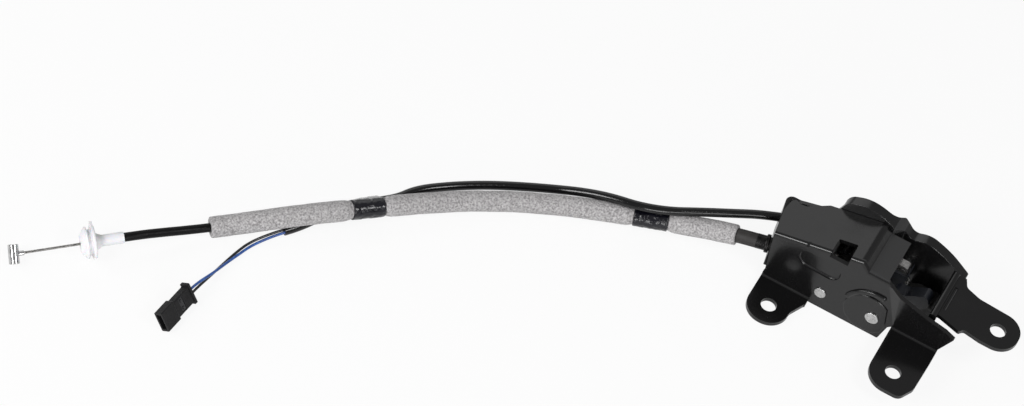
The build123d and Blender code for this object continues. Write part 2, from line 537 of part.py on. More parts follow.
# Switch: a moulded housing on the back plate, its plunger, and two screws
SWITCH_LEFT_X = -10.0
SWITCH_RIGHT_X = 8.0
SWITCH_FRONT_Y = 38.0
SWITCH_LOW_Z = 11.0
SWITCH_TOP_Z = 27.0
PLUNGER_Y = 42.0
PLUNGER_Z = 16.0
PLUNGER_R = 1.6
PLUNGER_TIP_X = 12.7
PLUNGER_TRAVEL = 2.3
SCREW_R = 1.4
switch_body = facing_back(
    outline((SWITCH_LEFT_X, SWITCH_LOW_Z, 1), (SWITCH_RIGHT_X, SWITCH_LOW_Z, 1),
            (SWITCH_RIGHT_X, SWITCH_TOP_Z - 3, 1), (SWITCH_RIGHT_X - 4, SWITCH_TOP_Z, 1),
            (SWITCH_LEFT_X, SWITCH_TOP_Z, 1)), SWITCH_FRONT_Y, BACK_Y)
switch_body = fillet(switch_body.faces().sort_by(Axis.Y)[0].edges(), 0.6)
switch_body -= facing_right(Pos(PLUNGER_Y, PLUNGER_Z) * Circle(PLUNGER_R + PIVOT_CLEARANCE), -4.5, 10)
SCREW_PLACES = [("switch_screw_low", -6.5, 14.5), ("switch_screw_high", 0.5, 23.4)]
for name, x, z in SCREW_PLACES:
    switch_body -= cylinder_y(x, z, SCREW_R + 0.15, SWITCH_FRONT_Y - 1, BACK_Y + 1)
    head = cylinder_y(x, z, SCREW_R + 1.5, SWITCH_FRONT_Y - 1.7, SWITCH_FRONT_Y)
    screw = fillet(head.edges().sort_by(Axis.Y)[0], 0.6)
    screw += cylinder_y(x, z, SCREW_R, SWITCH_FRONT_Y, BACK_Y + SHEET + 0.6)
    slot = facing_back(Pos(x, z) * Rot(Z=35) * Rectangle(6, 0.7), SWITCH_FRONT_Y - 2, SWITCH_FRONT_Y - 1)
    write(name, screw - slot)
    back_bracket -= cylinder_y(x, z, SCREW_R, BACK_Y - 1, BACK_Y + SHEET + 1)
write("back_bracket", back_bracket)
switch_body += along(HARNESS_START, harness_out, -2.0, 2.4, HARNESS_R + 1.1)
switch_body -= along(HARNESS_START, harness_out, 0, 3.0, HARNESS_R)
write("switch_housing", switch_body)
plunger = facing_right(Pos(PLUNGER_Y, PLUNGER_Z) * Circle(PLUNGER_R), -1.0, PLUNGER_TIP_X)
plunger = fillet(plunger.edges().sort_by(Axis.X)[-1], 0.9)
write("switch_plunger", plunger)

# Cable ferrule: two collars hold it in the slot of the end wall, and the casing is seated in its bore
OUTER_BODY = 5.0
FERRULE_BODY_R = 4.2
CASING_SEAT = 8.0
collar_end = neck_half + COLLAR_THICK
ferrule_end = collar_end + OUTER_BODY
casing_start = ferrule_end - CASING_SEAT
outward = inward * -1
ferrule = along(gate, outward, -collar_end, collar_end, FERRULE_NECK_R)
for start in (-collar_end, neck_half):
    collar = along(gate, outward, start, start + COLLAR_THICK, FERRULE_COLLAR_R)
    ferrule += fillet(collar.edges().filter_by(GeomType.CIRCLE), 0.5)
ferrule += along(gate, outward, collar_end - 0.2, ferrule_end, FERRULE_BODY_R)
ferrule += along(gate, outward, -collar_end - 2.4, -collar_end + 0.2, FERRULE_NECK_R - 0.4)
ferrule -= along(gate, outward, casing_start, ferrule_end + 1, CASING_R)
ferrule -= along(gate, outward, -collar_end - 3, casing_start + 0.5, 1.5)
write("cable_ferrule", ferrule)
print("ferrule", len(ferrule.solids()), ferrule.is_valid)


# Cords: each follows a line of points with a curve at every corner
def curve_radii(points, first=0.0):
    """The largest radius for each inner corner that leaves a tenth of the shorter run straight."""
    radii = []
    for a, b, c in zip(points, points[1:], points[2:]):
        turn = radians((b - a).get_angle(c - b))
        radii.append(0.45 * min((b - a).length, (c - b).length) / tan(turn / 2))
    if first:
        radii[0] = first
    return radii


def cord(points, radii, outer, inner=0.0):
    """A round cord, or a tube when inner is given."""
    path = FilletPolyline(*points, radius=radii) if radii else Line(*points)
    face = Circle(outer) - Circle(inner) if inner else Circle(outer)
    return sweep(Plane(path @ 0, z_dir=path % 0) * face, path=path)


def cut_route(points, radii, run0, part0, run1, part1):
    """The part of a route between two places, each given as a run's number and a fraction of it."""
    start = points[run0] + (points[run0 + 1] - points[run0]) * part0
    end = points[run1] + (points[run1 + 1] - points[run1]) * part1
    return [start, *points[run0 + 1:run1 + 1], end], radii[run0:run1]


clip_axis = Vector(cos(radians(CLIP_YAW)) * cos(radians(CLIP_PITCH)),
                   sin(radians(CLIP_YAW)) * cos(radians(CLIP_PITCH)), -sin(radians(CLIP_PITCH)))
clip_centre = Vector(-322.2, -184.1, 9.3)
CASING_END = 6.0
casing_route = [
    gate + outward * casing_start, gate + outward * 16, Vector(-40.2, 21.5, 14.0), Vector(-61.4, 15.2, 11.3),
    Vector(-79.7, 9.1, 9.2), Vector(-97.5, 2.7, 7.7), Vector(-115.9, -4.9, 6.6), Vector(-135.7, -15.2, 6.2),
    Vector(-154.7, -26.9, 6.2), Vector(-172.8, -40.4, 6.6), Vector(-185.5, -52.2, 7.8),
    Vector(-197.5, -64.2, 9.6), Vector(-211.5, -77.8, 10.3), Vector(-225.1, -92.2, 12.3),
    Vector(-238.5, -105.1, 12.7), Vector(-252.9, -117.4, 10.5), Vector(-267.7, -129.4, 7.6),
    Vector(-282.2, -142.7, 6.9), Vector(-294.8, -156.5, 9.4), clip_centre - clip_axis * 26,
    clip_centre - clip_axis * CASING_END]
casing_radii = curve_radii(casing_route, 30.0)
print("casing runs", [round((b - a).length, 1) for a, b in zip(casing_route, casing_route[1:])])
print("casing radii", [round(r, 1) for r in casing_radii])
WIRE_WAY_R = 1.0
casing = cord(casing_route, casing_radii, CASING_R)
casing_full = casing.volume
casing -= along(gate, outward, casing_start - 1, casing_start + 14, WIRE_WAY_R)
casing -= along(clip_centre, clip_axis, -CASING_END - 10.5, -CASING_END + 1, WIRE_WAY_R)
write("cable_casing", casing)
print("casing", len(casing.solids()), casing.is_valid, casing_full)

# Soft boot, foam sleeves and tape over the casing; the foam's squeezed ends run on under the tape
BOOT_R = 4.1
BOOT_END = 0.39
boot_route = cut_route(casing_route, casing_radii, 0, 0.0, 1, BOOT_END)
boot_route[0][0] = gate + outward * ferrule_end
write("cable_boot", cord(*boot_route, BOOT_R, CASING_R))


def sleeve(name, big, squeezed=None):
    piece = cord(*cut_route(casing_route, casing_radii, *big), FOAM_R, CASING_R)
    if squeezed:
        piece += cord(*cut_route(casing_route, casing_radii, *squeezed), SQUEEZED_R, CASING_R)
    print(name, len(piece.solids()), piece.is_valid)
    write(name, piece)


sleeve("foam_sleeve_latch", (1, BOOT_END, 3, 0.5))
sleeve("foam_sleeve_middle", (4, 0.5, 11, 0.5), (3, 0.5, 4, 0.5))
sleeve("foam_sleeve_handle", (12, 0.5, 16, 0.5), (11, 0.5, 12, 0.5))
tape_latch = cord(*cut_route(casing_route, casing_radii, 3, 0.5, 4, 0.5), SQUEEZED_R + TAPE_THICK, SQUEEZED_R)
write("tape_latch", tape_latch)

# Harness tube: out of the switch, over the latch-end tape, down behind the foam and into the second tape
harness_beside = Vector(-3.81, 3.29, -7.01)
harness_route = [
    HARNESS_START, HARNESS_SECOND, Vector(-40.2, 31.0, 20.8), Vector(-57.1, 21.2, 19.6),
    Vector(-71.2, 12.1, 19.0), Vector(-86.7, 6.1, 17.9), Vector(-102.7, 4.2, 15.8),
    Vector(-117.6, 2.6, 11.0), Vector(-133.6, -0.5, 5.0), Vector(-150.9, -8.5, 2.8),
    Vector(-167.4, -19.2, 2.8), Vector(-183.0, -31.4, 2.8), Vector(-197.4, -45.6, 2.8),
    casing_route[11] + harness_beside, casing_route[12] + harness_beside, casing_route[13] + harness_beside,
    Vector(-236.9, -104.0, 2.7), Vector(-242.8, -111.9, 2.7)]
harness_radii = curve_radii(harness_route)
harness_radii[13] = casing_radii[11]
print("harness runs", [round((b - a).length, 1) for a, b in zip(harness_route, harness_route[1:])])
print("harness radii", [round(r, 1) for r in harness_radii])
harness_tube = cord(harness_route, harness_radii, HARNESS_R)
print("harness", len(harness_tube.solids()), harness_tube.is_valid)

# Tape round the harness and the squeezed foam together, with a waist between the two
tape_route, tape_radii = cut_route(casing_route, casing_radii, 11, 0.5, 12, 0.5)
beside = harness_beside.length


def wrap(foam_r, tube_r):
    """A figure that goes round both circles with a straight side to each side of them."""
    lean = (foam_r - tube_r) / beside
    rise = (1 - lean ** 2) ** 0.5
    waist = make_face(Polyline((foam_r * lean, foam_r * rise), (beside + tube_r * lean, tube_r * rise),
                               (beside + tube_r * lean, -tube_r * rise), (foam_r * lean, -foam_r * rise),
                               close=True))
    return Circle(foam_r) + waist + Pos(beside, 0) * Circle(tube_r)


tape_path = FilletPolyline(*tape_route, radius=tape_radii)
tape_plane = Plane(tape_path @ 0, x_dir=harness_beside, z_dir=tape_path % 0)
tape_face = wrap(SQUEEZED_R + TAPE_THICK, HARNESS_R + TAPE_THICK) - wrap(SQUEEZED_R, HARNESS_R)
tape_with_harness = sweep(tape_plane * tape_face, path=tape_path)
print("tape", len(tape_with_harness.solids()), tape_with_harness.is_valid)
write("tape_with_harness", tape_with_harness)

# Two leads from the end of the harness tube to the connector
LEAD_SPREAD = 0.95
LEAD_WAY_R = LEAD_R + 0.1
harness_end = harness_route[-1]
harness_out = (harness_end - harness_route[-2]).normalized()
harness_side = Vector(-harness_out.Y, harness_out.X)
connector_axis = Vector(-0.084, -0.9965, 0).normalized()
connector_wide = Vector(0.574, 0, -0.819)
connector_back = Vector(-262.9, -179.2, 6.45)
connector_plane = Plane(connector_back, x_dir=connector_wide, z_dir=connector_axis)
LEAD_PITCH = 2.6
LEAD_DEPTH = 6.0
blue_end = connector_plane.from_local_coords(Vector(-LEAD_PITCH / 2, 0, LEAD_DEPTH))
blue_entry = connector_plane.from_local_coords(Vector(-LEAD_PITCH / 2, 0, -4.0))
black_end = connector_plane.from_local_coords(Vector(LEAD_PITCH / 2, 0, LEAD_DEPTH))
black_entry = connector_plane.from_local_coords(Vector(LEAD_PITCH / 2, 0, -4.0))
blue_start = harness_end + harness_side * LEAD_SPREAD
black_start = harness_end - harness_side * LEAD_SPREAD
blue_route = [
    blue_start - harness_out * 5, blue_start + harness_out * 4, Vector(-252.5, -128.7, 1.2),
    Vector(-255.3, -138.5, 1.4), Vector(-257.6, -148.5, 2.6), Vector(-259.4, -160.0, 5.2), blue_entry, blue_end]
black_route = [
    black_start - harness_out * 5, black_start + harness_out * 4, Vector(-254.6, -127.6, 1.0),
    Vector(-257.4, -138.7, 1.0), Vector(-259.3, -149.6, 0.9), Vector(-260.4, -160.5, 2.4), black_entry, black_end]
for name, route, start in (("blue_lead", blue_route, blue_start), ("black_lead", black_route, black_start)):
    radii = curve_radii(route)
    print(name, "runs", [round((b - a).length, 1) for a, b in zip(route, route[1:])],
          "radii", [round(r, 1) for r in radii])
    lead = cord(route, radii, LEAD_R)
    print(name, lead.is_valid, lead.volume)
    write(name, lead)
    harness_tube -= along(start, harness_out, -6, 1, LEAD_WAY_R)
write("harness_tube", harness_tube)

# Connector: a flanged shell with a hooded socket, two terminals and a retainer
FLANGE_LENGTH = 1.6
HOOD_START = 14.6
WIDE = 12.0
THICK = 5.2


def block(x, y, z0, z1, at_x=0.0, at_y=0.0):
    """A block on the connector's own axes: x across it, y through its thickness, z towards the socket."""
    return extrude(Plane.XY.offset(z0) * Pos(at_x, at_y) * Rectangle(x, y), amount=z1 - z0)


shell = fillet(block(WIDE + 0.8, THICK + 0.4, 0, FLANGE_LENGTH).edges().filter_by(Axis.Z), 0.6)
shell += fillet(block(WIDE - 2.0, THICK - 0.4, 0, HOOD_START + 2).edges().filter_by(Axis.Z), 0.6)
hood = block(WIDE, THICK, HOOD_START, CONNECTOR_LENGTH)
shell += fillet(chamfer(hood.faces().sort_by(Axis.Z)[0].edges(), 0.7, 0.3).edges().filter_by(Axis.Z), 0.5)
shell -= fillet(block(WIDE - 2.4, THICK - 2.0, HOOD_START, CONNECTOR_LENGTH + 1).edges().filter_by(Axis.Z), 0.5)
shell -= block(1.8, 3.0, CONNECTOR_LENGTH - 4.6, CONNECTOR_LENGTH - 1.6, -WIDE / 2 + 2.6, -THICK / 2)
RETAINER_START = 8.2
RETAINER_LENGTH = 3.2
shell -= block(8.0, 2.0, RETAINER_START, RETAINER_START + RETAINER_LENGTH, 0, THICK / 2 - 0.2)
TERMINAL_SIZE = 1.5
for x in (-LEAD_PITCH / 2, LEAD_PITCH / 2):
    shell -= extrude(Plane.XY.offset(-1) * Pos(x, 0) * Circle(LEAD_WAY_R), amount=LEAD_DEPTH + 1)
    shell -= block(TERMINAL_SIZE, TERMINAL_SIZE, LEAD_DEPTH, HOOD_START + 1, x)
write("connector_housing", connector_plane * shell)
retainer = block(7.7, 0.8, RETAINER_START + 0.15, RETAINER_START + RETAINER_LENGTH - 0.15, 0, THICK / 2 - 0.8)
retainer += block(1.6, 0.7, RETAINER_START + 1, RETAINER_START + 2.2, -2.2, THICK / 2 - 0.2)
retainer += block(1.6, 0.7, RETAINER_START + 1, RETAINER_START + 2.2, 2.2, THICK / 2 - 0.2)
write("connector_retainer", connector_plane * retainer)
for name, x in (("blue_terminal", -LEAD_PITCH / 2), ("black_terminal", LEAD_PITCH / 2)):
    terminal = block(TERMINAL_SIZE, TERMINAL_SIZE, LEAD_DEPTH, HOOD_START, x)
    terminal += chamfer(block(0.8, 0.8, HOOD_START, CONNECTOR_LENGTH - 3, x).faces().sort_by(Axis.Z)[-1].edges(), 0.25)
    write(name, connector_plane * terminal)
print("connector", len(shell.solids()), shell.is_valid)

# Clip at the handle end: a snap cone, a groove for the panel, a pointed flange and a sleeve for the casing
CLIP_NECK_R = 7.0
CLIP_CONE_TIP_R = 4.6
clip_profile = outline(
    (WIRE_WAY_R, -CASING_END), (CASING_R, -CASING_END), (CASING_R, -CLIP_SLEEVE_END),
    (CLIP_SLEEVE_R, -CLIP_SLEEVE_END), (CLIP_SLEEVE_R, -7.0, 2), (4.9, -3.2, 1),
    (CLIP_FLANGE_R, -3.2, 0.7), (CLIP_FLANGE_R, -1.3, 0.7), (CLIP_NECK_R, -1.3), (CLIP_NECK_R, 0.7),
    (8.7, 0.7, 0.6), (8.7, 1.8, 1), (CLIP_CONE_TIP_R, 4.6, 0.8), (WIRE_WAY_R, 4.6))
clip = revolve(Plane.XZ * clip_profile, Axis.Z)
point_plane = Plane.XY.offset(-3.0) * Rot(Z=-37)
point_face = outline((5.5, -6.9), (11.4, 0, 1.2), (5.5, 6.9))
clip += extrude(point_plane * point_face, amount=1.5)
clip -= extrude(Plane.XY.offset(-4) * Circle(WIRE_WAY_R), amount=10)
clip_side = Vector(-sin(radians(CLIP_YAW)) * -1, cos(radians(CLIP_YAW)) * -1)
clip_plane = Plane(clip_centre, x_dir=clip_side, z_dir=clip_axis)
casing_clip = clip_plane * clip
write("casing_clip", casing_clip)
print("clip", len(clip.solids()), clip.is_valid, "x", clip_plane.x_dir, "y", clip_plane.y_dir)

# Pull barrel and the wire's handle end
BARREL_AT = 40.0
BARREL_LEAN = 38.0
CRIMP_R = 1.35
CRIMP_LENGTH = 2.6
barrel_axis = clip_side * cos(radians(BARREL_LEAN)) + Vector(0, 0, sin(radians(BARREL_LEAN)))
barrel_centre = clip_centre + clip_axis * BARREL_AT
barrel = along(barrel_centre, barrel_axis, -BARREL_LENGTH / 2, BARREL_LENGTH / 2, BARREL_R)
barrel = chamfer(barrel.edges().filter_by(GeomType.CIRCLE), 0.3)
barrel += along(barrel_centre, clip_axis, -BARREL_R - CRIMP_LENGTH, -BARREL_R + 0.6, CRIMP_R)
barrel -= along(barrel_centre, clip_axis, -BARREL_R - CRIMP_LENGTH - 1, 0, WIRE_R)
write("handle_barrel", barrel)
write("inner_wire_handle_end", along(clip_centre, clip_axis, -CASING_END - 9.0, BARREL_AT, WIRE_R))

# Nipple and the wire's latch end
latch_nipple = cylinder_y(nipple.X, nipple.Z, NIPPLE_R, LEVER_Y - 1.0, LEVER_BACK_Y + 1.2)
latch_nipple = chamfer(latch_nipple.edges().filter_by(GeomType.CIRCLE), 0.3)
latch_nipple -= along(nipple, outward, 0, 8, WIRE_R)
write("latch_nipple", latch_nipple)
WIRE_SEAT = 9.0
write("inner_wire_latch_end", along(nipple, outward, 0, to_wall + casing_start + WIRE_SEAT, WIRE_R))
print("barrel", barrel.bounding_box(), "nipple", latch_nipple.bounding_box())
print("pull axis", clip_axis, "latch axis", outward)
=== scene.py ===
import bpy
import numpy as np
from mathutils import Matrix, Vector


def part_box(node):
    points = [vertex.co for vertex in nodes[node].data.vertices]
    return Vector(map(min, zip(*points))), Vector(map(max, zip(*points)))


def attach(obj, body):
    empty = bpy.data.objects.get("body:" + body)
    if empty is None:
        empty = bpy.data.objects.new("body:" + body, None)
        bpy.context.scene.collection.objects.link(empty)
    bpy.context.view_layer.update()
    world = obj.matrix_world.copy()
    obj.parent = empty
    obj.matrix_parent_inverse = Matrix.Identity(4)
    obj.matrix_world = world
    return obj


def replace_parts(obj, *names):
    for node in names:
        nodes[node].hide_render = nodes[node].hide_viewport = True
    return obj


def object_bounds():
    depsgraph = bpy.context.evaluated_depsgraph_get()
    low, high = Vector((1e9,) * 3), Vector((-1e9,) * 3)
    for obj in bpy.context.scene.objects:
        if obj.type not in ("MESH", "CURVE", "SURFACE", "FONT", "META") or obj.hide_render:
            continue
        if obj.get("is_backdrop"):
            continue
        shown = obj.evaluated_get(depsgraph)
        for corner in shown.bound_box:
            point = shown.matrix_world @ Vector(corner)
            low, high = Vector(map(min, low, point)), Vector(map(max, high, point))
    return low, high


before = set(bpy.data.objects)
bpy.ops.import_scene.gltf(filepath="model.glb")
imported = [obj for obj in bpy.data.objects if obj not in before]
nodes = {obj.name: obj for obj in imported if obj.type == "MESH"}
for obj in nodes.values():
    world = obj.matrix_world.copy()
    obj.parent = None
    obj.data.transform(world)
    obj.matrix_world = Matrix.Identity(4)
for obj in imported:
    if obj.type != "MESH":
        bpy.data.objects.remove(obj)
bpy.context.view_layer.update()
scene = bpy.context.scene
scene.view_settings.view_transform = "Standard"


# Camera
# A long lens looks down on the lock from the front and a little from its right.
# It is rolled, so that the lock's front wall falls away to the right and the cable to the left.
CAMERA_RIGHT = (0.8729858, 0.4500975, 0.1879044)
CAMERA_UP = (-0.4635651, 0.6458666, 0.6066001)
CAMERA_BACK = (0.1516681, -0.6166592, 0.7724819)
CAMERA_SPOT = (0.1696193, -1.3180355, 1.6269215)
camera_data = bpy.data.cameras.new("camera")
camera_data.lens = 135
camera_data.sensor_width = 36
camera_data.clip_end = 30
camera = bpy.data.objects.new("camera", camera_data)
scene.collection.objects.link(camera)
scene.camera = camera
camera_place = np.eye(4)
camera_place[:3] = np.column_stack([CAMERA_RIGHT, CAMERA_UP, CAMERA_BACK, CAMERA_SPOT])
camera.matrix_world = Matrix(camera_place.tolist())


# Studio
# Six soft lamps stand where the photograph's black sheet and shiny tape mirror one: two at the left, one
# behind at the left for the sheet above, one at the right and two low in front. The sky is even and the
# floor pale, and both look white to the camera.
class Mask:
    """A number on the surface, from a socket. Sums with numbers and other masks add Math nodes."""

    def __init__(self, finish, socket):
        self.finish = finish
        self.socket = socket

    def sum_of(self, operation, first, second):
        node = self.finish.add("ShaderNodeMath", {"operation": operation}, {0: first, 1: second})
        return Mask(self.finish, node.outputs[0])

    def __add__(self, other):
        return self.sum_of("ADD", self, other)

    def __radd__(self, other):
        return self.sum_of("ADD", other, self)

    def __rsub__(self, other):
        return self.sum_of("SUBTRACT", other, self)

    def __mul__(self, other):
        return self.sum_of("MULTIPLY", self, other)


class Finish:
    """A node material. One method adds any node, and the others name what a finish is made of."""

    def __init__(self, name, tree=None):
        if tree is None:
            material = bpy.data.materials.new(name)
            material.use_nodes = True
            self.material = material
            tree = material.node_tree
            self.shader = tree.nodes["Principled BSDF"]
        self.tree = tree

    def fill(self, socket, value):
        if isinstance(value, Mask):
            value = value.socket
        if isinstance(value, bpy.types.NodeSocket):
            self.tree.links.new(value, socket)
        else:
            socket.default_value = value

    def add(self, kind, settings=None, values=None):
        """A node of a type, its settings first, then the values or links of its sockets."""
        node = self.tree.nodes.new(kind)
        for name, value in (settings or {}).items():
            setattr(node, name, value)
        for name, value in (values or {}).items():
            self.fill(node.inputs[name], value)
        return node

    def place(self, stretch=(1, 1, 1)):
        """Object coordinates, stretched by a Mapping node."""
        where = self.add("ShaderNodeTexCoord").outputs["Object"]
        mapping = self.add("ShaderNodeMapping", None, {"Vector": where, "Scale": stretch})
        return mapping.outputs[0]

    def ramp(self, value, low, high):
        """0 where the value is low or less, 1 where it is high or more, and even between."""
        node = self.add("ShaderNodeMapRange", {"clamp": True},
                        {"Value": value, "From Min": low, "From Max": high})
        return Mask(self, node.outputs[0])

    def noise(self, scale, low=0.0, high=1.0, detail=2.0, stretch=(1, 1, 1)):
        """Cloudy noise with so many spots to the metre, spread so that low gives 0 and high gives 1."""
        cloud = self.add("ShaderNodeTexNoise", None,
                         {"Vector": self.place(stretch), "Scale": scale, "Detail": detail})
        return self.ramp(cloud.outputs[0], low, high)

    def cells(self, scale, low, high):
        """Distance from the middle of grains with so many to the metre, spread like the noise."""
        grain = self.add("ShaderNodeTexVoronoi", {"feature": "F1"},
                         {"Vector": self.place(), "Scale": scale})
        return self.ramp(grain.outputs[0], low, high)

    def mix(self, mask, first, second):
        """The first colour where the mask is 0 and the second where it is 1."""
        node = self.add("ShaderNodeMix", {"data_type": "RGBA"}, {0: mask})
        self.fill(node.inputs[6], first if not isinstance(first, tuple) else (*first, 1))
        self.fill(node.inputs[7], second if not isinstance(second, tuple) else (*second, 1))
        return node.outputs[2]

    def bump(self, height, depth, under=None):
        """A relief of so many metres where the height goes from 0 to 1, on top of another relief."""
        node = self.add("ShaderNodeBump", None, {"Height": height, "Distance": depth, "Strength": 1.0})
        if under is not None:
            self.fill(node.inputs["Normal"], under)
        return node.outputs[0]

    def surface(self, colour, roughness, metallic=0.0, relief=None, **fixed):
        """The Principled shader's sockets, with the fixed ones as plain numbers."""
        colour = (*colour, 1) if isinstance(colour, tuple) else colour
        self.fill(self.shader.inputs["Base Color"], colour)
        self.fill(self.shader.inputs["Roughness"], roughness)
        self.fill(self.shader.inputs["Metallic"], metallic)
        if relief is not None:
            self.fill(self.shader.inputs["Normal"], relief)
        for name, value in fixed.items():
            self.fill(self.shader.inputs[name.replace("_", " ").title().replace("Ior", "IOR")], value)
        return self


OBJECT_MIDDLE = np.array((-0.08, -0.06, 0.0))


def lamp(name, place, size, watts):
    """A square soft lamp that faces the middle of the object, its size in metres."""
    data = bpy.data.lights.new(name, "AREA")
    data.shape = "SQUARE"
    data.size = size
    data.energy = watts
    holder = bpy.data.objects.new(name, data)
    scene.collection.objects.link(holder)
    back = np.array(place) - OBJECT_MIDDLE
    back /= np.linalg.norm(back)
    side = np.cross((0, 0, 1), back)
    side /= np.linalg.norm(side)
    turn = np.eye(4)
    turn[:3, 0] = side
    turn[:3, 1] = np.cross(back, side)
    turn[:3, 2] = back
    turn[:3, 3] = place
    holder.matrix_world = Matrix(turn.tolist())


lamp("lamp_front", (-0.70, -1.05, 0.81), 0.5, 9.5)
lamp("lamp_low_front", (0.50, -1.28, 0.33), 0.4, 4.5)
lamp("lamp_low_right", (0.79, -0.99, 0.60), 0.45, 3)
lamp("lamp_right", (0.64, -0.24, 0.98), 0.3, 4)
lamp("lamp_back_left", (-0.76, 0.88, 0.84), 0.9, 2.1)
lamp("lamp_left", (-1.3, -0.5, 0.8), 0.5, 4.5)

SKY_LIGHT = 0.15
SKY_SEEN = 0.34
world = bpy.data.worlds.new("sky")
world.use_nodes = True
scene.world = world
sky = Finish("sky", world.node_tree)
rays = sky.add("ShaderNodeLightPath")
seen = Mask(sky, rays.outputs["Is Camera Ray"]) + Mask(sky, rays.outputs["Is Glossy Ray"])
seen = seen + Mask(sky, rays.outputs["Is Transmission Ray"])
backdrop = world.node_tree.nodes["Background"]
backdrop.inputs["Color"].default_value = (1, 1, 1, 1)
sky.fill(backdrop.inputs["Strength"], SKY_LIGHT + seen * (SKY_SEEN - SKY_LIGHT))

FLOOR_HALF = 3.0
FLOOR_Z = -0.0003
FLOOR_CORNERS = ((-1, -1), (1, -1), (1, 1), (-1, 1))
floor_mesh = bpy.data.meshes.new("floor")
floor_mesh.from_pydata([(x * FLOOR_HALF, y * FLOOR_HALF, FLOOR_Z) for x, y in FLOOR_CORNERS],
                       [], [(0, 1, 2, 3)])
floor = bpy.data.objects.new("floor", floor_mesh)
scene.collection.objects.link(floor)
floor_finish = Finish("pale_floor").surface((0.82, 0.82, 0.82), 0.9)
rays = floor_finish.add("ShaderNodeLightPath")
seen = (Mask(floor_finish, rays.outputs["Is Camera Ray"]) * 0.9
        + Mask(floor_finish, rays.outputs["Is Glossy Ray"]) * 0.5
        + Mask(floor_finish, rays.outputs["Is Transmission Ray"]) * 0.86)
white = floor_finish.add("ShaderNodeEmission", None, {"Color": (1, 1, 1, 1), "Strength": 1.0})
lit = floor_finish.add("ShaderNodeMixShader", None,
                       {0: seen, 1: floor_finish.shader.outputs[0], 2: white.outputs[0]})
floor_finish.fill(floor_finish.tree.nodes["Material Output"].inputs["Surface"], lit.outputs[0])
floor_mesh.materials.append(floor_finish.material)
floor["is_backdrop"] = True


# Release cable's casing
# A black plastic tube over a steel lining, pushed into the lock's ferrule at one end and the white clip's
# sleeve at the other. It is stiff, so it lies in long open bends. SLEEVE_MOUTH and CASING_STOP are how far
# back from the clip's middle the sleeve opens and the casing ends.
def round_cord(name, route, radius):
    """A round cord on the NURBS spline of order 3 whose control points are the route's points."""
    curve = bpy.data.curves.new(name, "CURVE")
    curve.dimensions = "3D"
    curve.resolution_u = 16
    curve.bevel_depth = radius
    curve.bevel_resolution = 7
    curve.use_fill_caps = True
    spline = curve.splines.new("NURBS")
    spline.points.add(len(route) - 1)
    spline.points.foreach_set("co", np.column_stack([route, np.ones(len(route))]).ravel())
    spline.order_u = 3
    spline.use_endpoint_u = True
    cord = bpy.data.objects.new(name, curve)
    scene.collection.objects.link(cord)
    return cord


def centreline(cord):
    """The cord's own spline as rows of points, read from its curve while it has no bevel."""
    radius = cord.data.bevel_depth
    cord.data.bevel_depth = 0
    bpy.context.view_layer.update()
    mesh = bpy.data.meshes.new_from_object(cord)
    line = np.zeros(len(mesh.vertices) * 3)
    mesh.vertices.foreach_get("co", line)
    bpy.data.meshes.remove(mesh)
    cord.data.bevel_depth = radius
    bpy.context.view_layer.update()
    return line.reshape(-1, 3)


def line_length(line):
    """The distances between neighbouring points, added up."""
    return float(np.linalg.norm(np.diff(line, axis=0), axis=1).sum())


CASING_R = 0.00245
CLIP_CENTRE = np.array((-0.3222, -0.1841, 0.0093))
PULL = np.array((-0.736226, -0.669914, -0.095846))
SLEEVE_MOUTH = 0.026
CASING_STOP = 0.006
casing_route = np.array([
    (-0.01464, 0.02506, 0.01880), (-0.02914, 0.02224, 0.01724), (-0.0402, 0.0215, 0.0140),
    (-0.0614, 0.0152, 0.0113), (-0.0797, 0.0091, 0.0092), (-0.0975, 0.0027, 0.0077),
    (-0.1159, -0.0049, 0.0066), (-0.1357, -0.0152, 0.0062), (-0.1547, -0.0269, 0.0062),
    (-0.1728, -0.0404, 0.0066), (-0.1855, -0.0522, 0.0078), (-0.1975, -0.0642, 0.0096),
    (-0.2115, -0.0778, 0.0103), (-0.2251, -0.0922, 0.0123), (-0.2385, -0.1051, 0.0127),
    (-0.2529, -0.1174, 0.0105), (-0.2677, -0.1294, 0.0076), (-0.2822, -0.1427, 0.0069),
    (-0.2948, -0.1565, 0.0094), tuple(CLIP_CENTRE - PULL * SLEEVE_MOUTH),
    tuple(CLIP_CENTRE - PULL * CASING_STOP)])
casing = round_cord("casing_tube", casing_route, CASING_R)
casing_finish = Finish("casing_black_plastic")
casing_finish.surface(
    casing_finish.mix(casing_finish.noise(260, 0.45, 0.75),
                      (0.0035, 0.0034, 0.0037), (0.0065, 0.0063, 0.0066)),
    0.3 + casing_finish.noise(90, 0.35, 0.7) * 0.16,
    relief=casing_finish.bump(casing_finish.noise(1500, detail=4), 0.00004), specular_ior_level=0.14)
casing.data.materials.append(casing_finish.material)
casing_line = centreline(casing)
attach(casing, "housing")
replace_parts(casing, "cable_casing")


